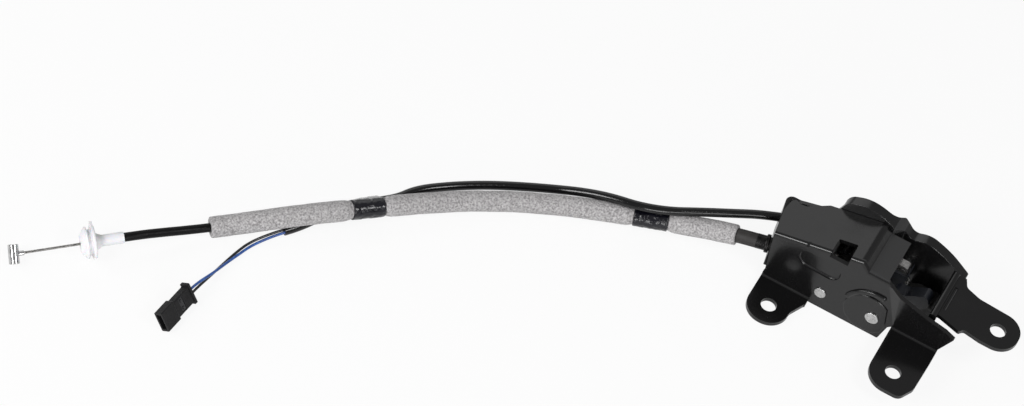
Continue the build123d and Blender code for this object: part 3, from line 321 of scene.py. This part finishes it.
# Harness tube
# A soft, shiny black sleeve on the switch's two leads. It hangs out of the switch, crosses the foam on its
# way down, lies on the floor behind it and is taped to it, and its cut end lets the leads out. BEHIND and
# BESIDE are its places from the casing's points at the tape.
HARNESS_R = 0.00255
BESIDE = np.array((-0.00381, 0.00329, -0.00701))
BEHIND = np.array((-0.0056, 0.0051, -0.0047))
harness_route = np.array([
    (-0.0100, 0.0450, 0.0236), (-0.0257, 0.0387, 0.0226), (-0.0402, 0.0310, 0.0208),
    (-0.0571, 0.0212, 0.0196), (-0.0712, 0.0121, 0.0190), (-0.0867, 0.0061, 0.0179),
    (-0.1027, 0.0042, 0.0158), (-0.1176, 0.0026, 0.0110), (-0.1336, -0.0005, 0.0050),
    (-0.1509, -0.0085, 0.0028), (-0.1674, -0.0192, 0.0028),
    (-0.1830, -0.0314, 0.0028), (-0.1970, -0.0452, 0.0034), tuple(casing_route[11] + BEHIND),
    tuple(casing_route[12] + BEHIND), tuple(casing_route[13] + BESIDE), (-0.2369, -0.1040, 0.0027),
    (-0.2428, -0.1119, 0.0027)])
harness = round_cord("harness_sleeve", harness_route, HARNESS_R)
harness_finish = Finish("harness_black_vinyl")
creases = harness_finish.noise(420, 0.3, 0.8, detail=3)
harness_finish.surface(
    (0.0035, 0.0035, 0.0038), 0.13 + harness_finish.noise(150, 0.4, 0.7) * 0.1,
    relief=harness_finish.bump(creases, 0.00009),
    specular_ior_level=0.22, coat_weight=0.4, coat_roughness=0.1)
harness.data.materials.append(harness_finish.material)
harness_line = centreline(harness)
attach(harness, "housing")
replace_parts(harness, "harness_tube")


# Switch leads
# Two thin stranded leads in vinyl, one blue and one black, from the harness tube's cut end to the back of
# the connector. The blue one crosses over the black one. Each is as long as the photograph shows it.
LEAD_R = 0.00075
blue_route = np.array([
    (-0.23905, -0.10847, 0.0027), (-0.24443, -0.11568, 0.0027), (-0.2525, -0.1287, 0.0012),
    (-0.2553, -0.1385, 0.0014), (-0.2576, -0.1485, 0.0026), (-0.2594, -0.1600, 0.0052),
    (-0.26331, -0.17515, 0.00752), (-0.26415, -0.18512, 0.00752)])
black_route = np.array([
    (-0.24057, -0.10733, 0.0027), (-0.24595, -0.11454, 0.0027), (-0.2546, -0.1276, 0.0010),
    (-0.2574, -0.1387, 0.0010), (-0.2593, -0.1496, 0.0009), (-0.2604, -0.1605, 0.0024),
    (-0.26182, -0.17528, 0.00538), (-0.26266, -0.18524, 0.00538)])
for colour, route, dark, pale, far_pieces in (
        ("blue", blue_route, (0.012, 0.06, 0.26), (0.03, 0.11, 0.38),
         ("connector_housing", "connector_retainer", "blue_terminal")),
        ("black", black_route, (0.006, 0.006, 0.007), (0.013, 0.013, 0.014),
         ("black_terminal",))):
    lead = round_cord(f"lead_{colour}", route, LEAD_R)
    lead.data.bevel_resolution = 4
    lead_finish = Finish(f"lead_{colour}_vinyl")
    lead_finish.surface(lead_finish.mix(lead_finish.noise(300, 0.4, 0.7), dark, pale), 0.3,
                        relief=lead_finish.bump(lead_finish.noise(900), 0.00005), coat_weight=0.3)
    lead.data.materials.append(lead_finish.material)
    lead_length = line_length(centreline(lead))
    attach(lead, "housing")
    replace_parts(lead, f"{colour}_lead")


# Foam sleeves
# Three lengths of soft grey foam tube over the casing, which keep it from rattling against the body.
# They are cut square, a little uneven in thickness, and pressed thin where the tape goes round.
FOAM_R = 0.0058
PRESSED_R = 0.0048
FOAM_CORNER_R = 0.0007
FOAM_CORNER_ROWS = 6
FOAM_ROW = 0.0009
FIRST_ROW = 0.0008
BORE_ROW = 0.002
CLEARANCE = 0.0001
FOAM_UNEVEN = 0.00008
SHOULDER = 0.0022
POINTS_ROUND = 64


def reach_of(line, point):
    """How far along the line the spot nearest to a point is, in metres."""
    reach = np.concatenate([[0], np.cumsum(np.linalg.norm(np.diff(line, axis=0), axis=1))])
    return float(reach[np.linalg.norm(line - point, axis=1).argmin()])


def carried(line, spots, across, up):
    """A section carried along a line: at each spot the line's point, plus across times its level side
    direction, plus up times the direction square to both. Spots are metres along the line."""
    reach = np.concatenate([[0], np.cumsum(np.linalg.norm(np.diff(line, axis=0), axis=1))])
    slope = np.gradient(line, reach, axis=0)
    centre = np.column_stack([np.interp(spots, reach, line[:, k]) for k in range(3)])
    ahead = np.column_stack([np.interp(spots, reach, slope[:, k]) for k in range(3)])
    ahead /= np.linalg.norm(ahead, axis=1)[:, None]
    side = np.cross(ahead, (0, 0, 1))
    side /= np.linalg.norm(side, axis=1)[:, None]
    lift = np.cross(side, ahead)
    return centre[:, None] + across[..., None] * side[:, None] + up[..., None] * lift[:, None]


def skin(name, points, ring=True):
    """A smooth mesh of four-sided faces between neighbours in a grid of points, closed round each row and,
    for a ring, from the last row to the first."""
    n, m = points.shape[:2]
    i, j = np.meshgrid(np.arange(n if ring else n - 1), np.arange(m), indexing="ij")
    i2 = (i + 1) % n
    j2 = (j + 1) % m
    faces = np.stack([i * m + j, i2 * m + j, i2 * m + j2, i * m + j2], -1).reshape(-1, 4)
    mesh = bpy.data.meshes.new(name)
    mesh.from_pydata(points.reshape(-1, 3).tolist(), [], faces.tolist())
    mesh.shade_smooth()
    piece = bpy.data.objects.new(name, mesh)
    scene.collection.objects.link(piece)
    return piece


def waves(x, angle, seed):
    """An uneven field between about -1 and 1: a sum of eight sine waves along x metres and round the
    angle, whose lengths, counts and starts come from a seeded draw."""
    draw = np.random.default_rng(seed)
    field = np.zeros(np.broadcast(x, angle).shape)
    for share in np.linspace(1, 0.4, 8):
        length = draw.uniform(0.006, 0.03)
        count = draw.integers(-3, 4)
        field = field + share * np.sin(2 * np.pi * x / length + count * angle + draw.uniform(0, 6.3))
    return field / 3.2


angle = np.linspace(0, 2 * np.pi, POINTS_ROUND, endpoint=False)[None, :]
foam_finish = Finish("grey_foam_fleece")
pores = foam_finish.cells(1500, 0.05, 0.6)
fluff = foam_finish.noise(950, 0.33, 0.69, detail=3)
cloud = foam_finish.noise(110, 0.35, 0.7)
foam_colour = foam_finish.mix(fluff, (0.2, 0.192, 0.194), (0.56, 0.545, 0.55))
foam_colour = foam_finish.mix(cloud * 0.2, foam_colour, (0.44, 0.43, 0.43))
foam_finish.surface(
    foam_colour, 0.9, relief=foam_finish.bump(fluff, 0.00016, foam_finish.bump(pores, 0.0001)),
    sheen_weight=0.25)


def mid(number):
    """The casing route's point halfway along one of its runs, which its spline goes through."""
    return (casing_route[number] + casing_route[number + 1]) / 2


BOOT_SHARE = 0.39
boot_end = casing_route[1] + (casing_route[2] - casing_route[1]) * BOOT_SHARE
foam_ends = {"latch": (boot_end, mid(3)), "middle": (mid(3), mid(11)), "handle": (mid(11), mid(16))}
tape_latch_span = [reach_of(casing_line, mid(3)), reach_of(casing_line, mid(4))]
tape_harness_span = [reach_of(casing_line, mid(11)), reach_of(casing_line, mid(12))]


def pressed(spots):
    """1 under a strip of tape and 0 well clear of it, with a soft shoulder outside."""
    inside = np.zeros(spots.shape)
    for low, high in (tape_latch_span, tape_harness_span):
        away = np.maximum(np.maximum(low - spots, spots - high), 0)
        inside = np.maximum(inside, np.exp(-(away / SHOULDER) ** 1.5))
    return inside


for seed, (name, (first, last)) in enumerate(foam_ends.items()):
    low = reach_of(casing_line, first)
    high = reach_of(casing_line, last)
    turn = np.linspace(0, np.pi / 2, FOAM_CORNER_ROWS)
    corner_spots = FOAM_CORNER_R * (1 - np.cos(turn))
    corner_droop = FOAM_CORNER_R * (1 - np.sin(turn))
    middle = np.arange(low + FOAM_CORNER_R + FIRST_ROW, high - FOAM_CORNER_R, FOAM_ROW)
    spots = np.concatenate([low + corner_spots, middle, high - corner_spots[::-1]])
    droop = np.concatenate([corner_droop, np.zeros(len(middle)), corner_droop[::-1]])
    thin = pressed(spots)
    unevenness = FOAM_UNEVEN * waves(spots[:, None], angle, seed + 3) * (1 - 0.9 * thin)[:, None]
    outer = (FOAM_R - droop - (FOAM_R - PRESSED_R) * thin)[:, None] + unevenness
    bore_spots = np.linspace(high, low, 4 + int((high - low) / BORE_ROW))
    bore = np.full((len(bore_spots), POINTS_ROUND), CASING_R + CLEARANCE)
    radius = np.concatenate([outer, bore])
    spots = np.concatenate([spots, bore_spots])
    foam = skin(f"foam_{name}", carried(casing_line, spots, radius * np.cos(angle), radius * np.sin(angle)))
    foam.data.materials.append(foam_finish.material)
    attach(foam, "housing")
    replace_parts(foam, f"foam_sleeve_{name}")


# Tapes
# Two strips of shiny black tape, each wound a few times. One holds the foam's joint near the lock, and one
# holds the harness tube to the foam, so its section is a belt round both. The tape puckers and shines.
TAPE_THICK = 0.0006
TAPE_ROWS = 46
TAPE_END = 0.0005
TAPE_GRIP = 0.0002
BELT_SOFTNESS = 0.0002
WIND_PITCH = 0.0095
WIND_STEP = 0.00022
PUCKER = 0.00012
PUCKER_CLOSER = 2.2
THIN_SHARE = 0.45
FULL_SHARE = 0.8
tape_finish = Finish("black_vinyl_tape")
pucker = tape_finish.noise(330, 0.3, 0.75, detail=3, stretch=(1, 1, 1.6))
long_pucker = tape_finish.noise(160, 0.35, 0.7, detail=1)
tape_finish.surface(
    tape_finish.mix(tape_finish.noise(120, 0.4, 0.7), (0.0032, 0.0032, 0.006), (0.007, 0.007, 0.011)),
    0.07 + tape_finish.noise(240, 0.35, 0.7) * 0.08,
    relief=tape_finish.bump(pucker, 0.00035, tape_finish.bump(long_pucker, 0.0005)),
    specular_ior_level=0.25, coat_weight=0.4, coat_roughness=0.05)


def belt(foam_r, tube_r, away, tube_place):
    """Section of a belt round two circles: for each direction, the farther of the two circles' points in
    that direction, with a soft change between them. tube_place is the tube's across and up from the
    foam's middle."""
    out = np.stack([np.cos(angle), np.sin(angle)], -1)
    gain = (tube_place[:, None] * out).sum(-1) + tube_r - foam_r
    share = 1 / (1 + np.exp(-gain / BELT_SOFTNESS))
    radius = foam_r + share * (tube_r - foam_r) + away
    return share[..., None] * tube_place[:, None] + out * radius[..., None]


def wind(name, span, tube_r, seed):
    """A closed strip of tape over a span of the casing's line: an outer and an inner belt surface, with a
    step like a wound edge that climbs round as it goes along, and puckers."""
    rows = np.linspace(span[0], span[1], TAPE_ROWS)
    ease = np.minimum(np.minimum(rows - span[0], span[1] - rows) / TAPE_END, 1)
    lap = ((rows[:, None] - span[0]) / WIND_PITCH + angle / (2 * np.pi)) % 1.0
    puckers = PUCKER * waves(rows[:, None] * PUCKER_CLOSER, angle, seed)
    swell = puckers + WIND_STEP * (1 - lap) ** 0.6
    share = THIN_SHARE + (FULL_SHARE - THIN_SHARE) * ease[:, None]
    thick = TAPE_THICK * share + swell * ease[:, None]
    outside_r = PRESSED_R + CLEARANCE
    inside_r = PRESSED_R - TAPE_GRIP
    if tube_r:
        none = np.zeros((TAPE_ROWS, 1))
        one = np.ones((TAPE_ROWS, 1))
        middle = carried(casing_line, rows, none, none)[:, 0]
        level = carried(casing_line, rows, one, none)[:, 0] - middle
        upright = carried(casing_line, rows, none, one)[:, 0] - middle
        nearest = np.linalg.norm(harness_line[None] - middle[:, None], axis=2).argmin(1)
        beside = harness_line[nearest] - middle
        place = np.stack([(beside * level).sum(1), (beside * upright).sum(1)], -1)
        outer = belt(outside_r, tube_r, thick, place)
        inner = belt(inside_r, tube_r - TAPE_GRIP, np.zeros_like(thick), place)
    else:
        out = np.stack([np.cos(angle), np.sin(angle)], -1)
        outer = out * (outside_r + thick)[..., None]
        inner = out * np.full_like(thick, inside_r)[..., None]
    section = np.concatenate([outer, inner[::-1]])
    spots = np.concatenate([rows, rows[::-1]])
    tape = skin(name, carried(casing_line, spots, section[..., 0], section[..., 1]))
    tape.data.materials.append(tape_finish.material)
    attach(tape, "housing")
    return tape


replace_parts(wind("tape_round_foam", tape_latch_span, 0.0, 11), "tape_latch")
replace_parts(wind("tape_round_both", tape_harness_span, HARNESS_R, 12), "tape_with_harness")


# Pull wire
# A bare steel rope of one straight core and six outer wires laid round it. One length shows between the
# white clip and the barrel, and one inside the lock, between the ferrule and the release lever.
WIRE_R = 0.0007
LAY_PITCH = 0.009
ROPE_ROW = 0.0006
OUTER_WIRES = 6
wire_finish = Finish("bright_wire")
wire_finish.surface(
    wire_finish.mix(wire_finish.noise(700, 0.4, 0.7), (0.34, 0.33, 0.32), (0.17, 0.165, 0.16)), 0.28,
    metallic=1.0, relief=wire_finish.bump(wire_finish.noise(2500), 0.00002))


def rope(name, start, end):
    """Seven round wires between two points: wire k's middle is the straight line plus a helix that starts
    k sixths of a turn round, and the core's helix has no radius."""
    span = float(np.linalg.norm(end - start))
    rows = np.linspace(0, span, int(span / ROPE_ROW))
    round_wire = np.linspace(0, 2 * np.pi, 10, endpoint=False)[None, :]
    strands = []
    for number in range(OUTER_WIRES + 1):
        turn = 2 * np.pi * (rows / LAY_PITCH + number / OUTER_WIRES)[:, None]
        off = 0.0 if number == OUTER_WIRES else WIRE_R * 2 / 3
        strands.append(carried(np.array([start, (start + end) / 2, end]), rows,
                               off * np.cos(turn) + WIRE_R / 3 * np.cos(round_wire),
                               off * np.sin(turn) + WIRE_R / 3 * np.sin(round_wire)))
    pieces = [skin(f"{name}_{k}", points, ring=False) for k, points in enumerate(strands)]
    with bpy.context.temp_override(active_object=pieces[0], selected_editable_objects=pieces):
        bpy.ops.object.join()
    pieces[0].name = name
    pieces[0].data.materials.append(wire_finish.material)
    return pieces[0]


IN_CLIP = 0.014
CLIP_TO_BARREL = 0.0395
wire_outside = rope("pull_wire_outside", CLIP_CENTRE - PULL * IN_CLIP, CLIP_CENTRE + PULL * CLIP_TO_BARREL)
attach(wire_outside, "cable_core")
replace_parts(wire_outside, "inner_wire_handle_end")
NIPPLE = np.array((0.0223587, 0.03225, 0.0227581))
TO_CASING = np.array((-0.97625, -0.189764, -0.104528))
IN_NIPPLE = 0.0006
SHORT_OF_BOX = 0.0014
wire_low, wire_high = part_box("inner_wire_latch_end")
inside_length = (wire_high.x - wire_low.x - SHORT_OF_BOX) / -TO_CASING[0]
wire_inside = rope("pull_wire_inside", NIPPLE + TO_CASING * IN_NIPPLE, NIPPLE + TO_CASING * inside_length)
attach(wire_inside, "cable_tail")
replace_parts(wire_inside, "inner_wire_latch_end")


# Cable ends
# The barrel and the nipple are zinc cast on the wire and plated bright. The clip is one white nylon
# moulding with a cone that snaps into the panel, a groove, a flange and a sleeve that grips the casing.
def dress(finish, *names):
    """Puts the finish on the CAD nodes with these names."""
    for name in names:
        for slot in nodes[name].material_slots:
            slot.material = finish.material


plate_finish = Finish("bright_zinc_plate")
plate_finish.surface(
    plate_finish.mix(plate_finish.noise(420, 0.4, 0.7), (0.6, 0.6, 0.6), (0.42, 0.42, 0.42)),
    0.12 + plate_finish.noise(900, 0.35, 0.7) * 0.1, metallic=1.0,
    relief=plate_finish.bump(plate_finish.noise(700, detail=2), 0.00001))
dress(plate_finish, "handle_barrel", "latch_nipple")

nylon_finish = Finish("white_nylon")
nylon_finish.surface(
    nylon_finish.mix(nylon_finish.noise(160, 0.35, 0.7), (0.76, 0.755, 0.79), (0.83, 0.825, 0.84)),
    0.34 + nylon_finish.noise(500, 0.35, 0.7) * 0.12,
    relief=nylon_finish.bump(nylon_finish.noise(700), 0.00004),
    subsurface_weight=0.15, subsurface_scale=0.002)
dress(nylon_finish, "casing_clip")


# Boot and ferrule
# A soft dark rubber boot closes the casing's end, and a grey die-cast ferrule with a neck and two collars
# holds it in the slot of the front bracket's left edge.
boot_finish = Finish("boot_brown_rubber")
boot_finish.surface(
    boot_finish.mix(boot_finish.noise(200, 0.35, 0.7), (0.013, 0.0112, 0.0108), (0.024, 0.0215, 0.0205)),
    0.5 + boot_finish.noise(400, 0.35, 0.7) * 0.15,
    relief=boot_finish.bump(boot_finish.noise(800, detail=4), 0.00008))
dress(boot_finish, "cable_boot")
ferrule_finish = Finish("ferrule_cast_zinc")
ferrule_finish.surface(
    ferrule_finish.mix(ferrule_finish.noise(350, 0.35, 0.7), (0.04, 0.039, 0.039), (0.014, 0.0135, 0.014)),
    0.24 + ferrule_finish.noise(900, 0.35, 0.7) * 0.14, metallic=1.0,
    relief=ferrule_finish.bump(ferrule_finish.noise(1100, detail=4), 0.00006))
dress(ferrule_finish, "cable_ferrule")


# Connector
# A matt black moulding with two tin-plated blades in its hood and a clip-in retainer, which lies on its
# side on the floor at the leads' far end.
moulding_finish = Finish("connector_matt_black")
spark = moulding_finish.noise(2600, 0.35, 0.7, detail=3)
moulding_finish.surface(
    moulding_finish.mix(moulding_finish.noise(180, 0.35, 0.7),
                        (0.0068, 0.0066, 0.0072), (0.0115, 0.0112, 0.012)),
    0.46 + spark * 0.1, relief=moulding_finish.bump(spark, 0.00003), specular_ior_level=0.25)
dress(moulding_finish, "connector_housing")
retainer_finish = Finish("retainer_dark_grey")
retainer_finish.surface(
    retainer_finish.mix(retainer_finish.noise(300, 0.35, 0.7),
                        (0.02, 0.02, 0.022), (0.032, 0.032, 0.034)),
    0.42, relief=retainer_finish.bump(retainer_finish.noise(2200), 0.00003))
dress(retainer_finish, "connector_retainer")
tin_finish = Finish("terminal_tin")
tin_finish.surface(
    tin_finish.mix(tin_finish.noise(600, 0.4, 0.7), (0.66, 0.66, 0.64), (0.5, 0.5, 0.48)), 0.3,
    metallic=1.0, relief=tin_finish.bump(tin_finish.noise(2000), 0.00002))
dress(tin_finish, "blue_terminal", "black_terminal")


# Brackets
# The front bracket, the back bracket and the right ear are pressed from 2.6 mm steel sheet and dipped in a
# thin black lacquer, which has a faint peel, dust and scuffs. Its colour is painted paler on the shelf, a
# painted sheen that stands in for the light the shelf mirrors. The back bracket's cut edges are broken a
# little, so that its rim catches the light.
SHELF_LEVEL = 0.0455
SHELF_LEFT = 0.0414
SHELF_RIGHT = 0.0545
STEP_HALF = 0.0002
BROKEN_EDGE = 0.0003
lacquer_finish = Finish("black_lacquer")
peel = lacquer_finish.noise(520, 0.3, 0.75, detail=2)
dust = lacquer_finish.noise(2300, 0.66, 0.78, detail=2)
scuff = lacquer_finish.noise(60, 0.52, 0.72, detail=5)
spot = lacquer_finish.add("ShaderNodeSeparateXYZ", None, {0: lacquer_finish.place()}).outputs


def past(axis, edge):
    """0 short of an edge along one axis, 0 to 2 for x to z, and 1 past it, with a short even change."""
    return lacquer_finish.ramp(spot[axis], edge - STEP_HALF, edge + STEP_HALF)


# Painted sheen: a mask over the shelf, where the lacquer's colour is made paler in place of mirrored light.
painted_shelf_sheen = past(2, SHELF_LEVEL) * past(0, SHELF_LEFT) * (1 - past(0, SHELF_RIGHT))
dusty = lacquer_finish.mix(dust * 0.15, (0.0056, 0.0055, 0.0057), (0.07, 0.068, 0.066))
# Dusty black lacquer, with the paler painted sheen on the shelf.
lacquer_finish.surface(
    lacquer_finish.mix(painted_shelf_sheen, dusty, (0.036, 0.036, 0.0365)), 0.2 + scuff * 0.1 + dust * 0.25,
    relief=lacquer_finish.bump(peel, 0.000012, lacquer_finish.bump(lacquer_finish.noise(90), 0.00006)),
    specular_ior_level=0.36, coat_weight=0.15, coat_roughness=0.12)
dress(lacquer_finish, "front_bracket", "back_bracket", "right_ear")
joined = nodes["back_bracket"].modifiers.new("join_corners", "WELD")
joined.merge_threshold = 0.00001
soft_edge = nodes["back_bracket"].modifiers.new("soft_edges", "BEVEL")
soft_edge.width = BROKEN_EDGE
soft_edge.segments = 2
soft_edge.limit_method = "ANGLE"
soft_edge.angle_limit = 0.7
soft_edge.use_clamp_overlap = False
flat_faces = nodes["back_bracket"].modifiers.new("flat_faces", "WEIGHTED_NORMAL")
flat_faces.weight = 60


# Pivots, spacers and screws
# The two pivots are turned steel, plated and headed over on both plates with domed bright rivet heads.
# The spacers are turned tubes, and the two screws of the switch are plated the same way.
rivet_finish = Finish("plated_steel")
turning = rivet_finish.noise(2400, 0.3, 0.7, stretch=(1, 0.05, 1))
rivet_finish.surface(
    rivet_finish.mix(rivet_finish.noise(500, 0.4, 0.75, detail=4), (0.6, 0.6, 0.6), (0.36, 0.355, 0.35)),
    0.22 + rivet_finish.noise(800, 0.35, 0.7) * 0.2, metallic=1.0,
    relief=rivet_finish.bump(turning, 0.00003))
dress(rivet_finish, "fork_pivot", "pawl_pivot", "fork_spacer_front", "fork_spacer_back",
      "pawl_spacer_front", "pawl_spacer_back", "switch_screw_low", "switch_screw_high")


# Fork, pawl and lever
# The fork is blanked from bright steel plate and has a blue-black plastic jacket moulded round it, which
# quietens the striker. The pawl and the lever are hardened plate, dark from heat and oil.
steel_finish = Finish("hardened_steel")
blanking = steel_finish.noise(900, 0.3, 0.7, detail=3, stretch=(1, 0.15, 1))
steel_finish.surface(
    steel_finish.mix(steel_finish.noise(220, 0.35, 0.7, detail=4),
                     (0.17, 0.165, 0.16), (0.075, 0.073, 0.075)),
    0.32 + steel_finish.noise(600, 0.35, 0.7) * 0.2, metallic=1.0,
    relief=steel_finish.bump(blanking, 0.00006))
dress(steel_finish, "pawl", "release_lever")
fork_finish = Finish("fork_bright_steel")
worn = fork_finish.noise(500, 0.35, 0.7, detail=4)
fork_finish.surface(
    fork_finish.mix(worn, (0.62, 0.61, 0.6), (0.33, 0.325, 0.32)), 0.26 + worn * 0.16, metallic=1.0,
    relief=fork_finish.bump(fork_finish.noise(900, 0.3, 0.7, detail=3, stretch=(1, 0.15, 1)), 0.00004))
dress(fork_finish, "latch_fork")
jacket_finish = Finish("jacket_blue_black_plastic")
jacket_finish.surface(
    jacket_finish.mix(jacket_finish.noise(250, 0.35, 0.7),
                      (0.009, 0.0108, 0.0155), (0.0165, 0.0185, 0.0245)),
    0.36 + jacket_finish.noise(700, 0.35, 0.7) * 0.12,
    relief=jacket_finish.bump(jacket_finish.noise(1300, detail=3), 0.00004))
dress(jacket_finish, "fork_jacket")


# Springs
# Two coils of hard spring wire with a leg at each end, one round each pivot. They pull the fork open and
# the pawl home.
spring_finish = Finish("spring_steel")
spring_finish.surface(
    spring_finish.mix(spring_finish.noise(500, 0.4, 0.7), (0.52, 0.51, 0.5), (0.3, 0.295, 0.29)),
    0.22 + spring_finish.noise(1100, 0.35, 0.7) * 0.14, metallic=1.0,
    relief=spring_finish.bump(spring_finish.noise(2600), 0.00002))
dress(spring_finish, "fork_spring", "pawl_spring")


# Buffer and switch
# A rubber buffer stops the striker at the throat's floor. The switch is a dark plastic box screwed to the
# back bracket, with a plunger that the lever presses.
buffer_finish = Finish("buffer_black_rubber")
buffer_finish.surface(
    buffer_finish.mix(buffer_finish.noise(260, 0.35, 0.7), (0.011, 0.011, 0.011), (0.021, 0.021, 0.02)),
    0.62 + buffer_finish.noise(500, 0.35, 0.7) * 0.12,
    relief=buffer_finish.bump(buffer_finish.noise(900, detail=4), 0.0001))
dress(buffer_finish, "striker_buffer")
box_finish = Finish("switch_dark_plastic")
box_grain = box_finish.noise(2200, 0.35, 0.7, detail=2)
box_finish.surface(
    box_finish.mix(box_finish.noise(200, 0.35, 0.7), (0.014, 0.014, 0.015), (0.022, 0.022, 0.023)),
    0.42 + box_grain * 0.08, relief=box_finish.bump(box_grain, 0.00003))
dress(box_finish, "switch_housing")
plunger_finish = Finish("plunger_white_plastic")
plunger_finish.surface(
    plunger_finish.mix(plunger_finish.noise(500, 0.35, 0.7), (0.6, 0.59, 0.55), (0.68, 0.67, 0.63)), 0.4,
    relief=plunger_finish.bump(plunger_finish.noise(1500), 0.00003))
dress(plunger_finish, "switch_plunger")


low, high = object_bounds()
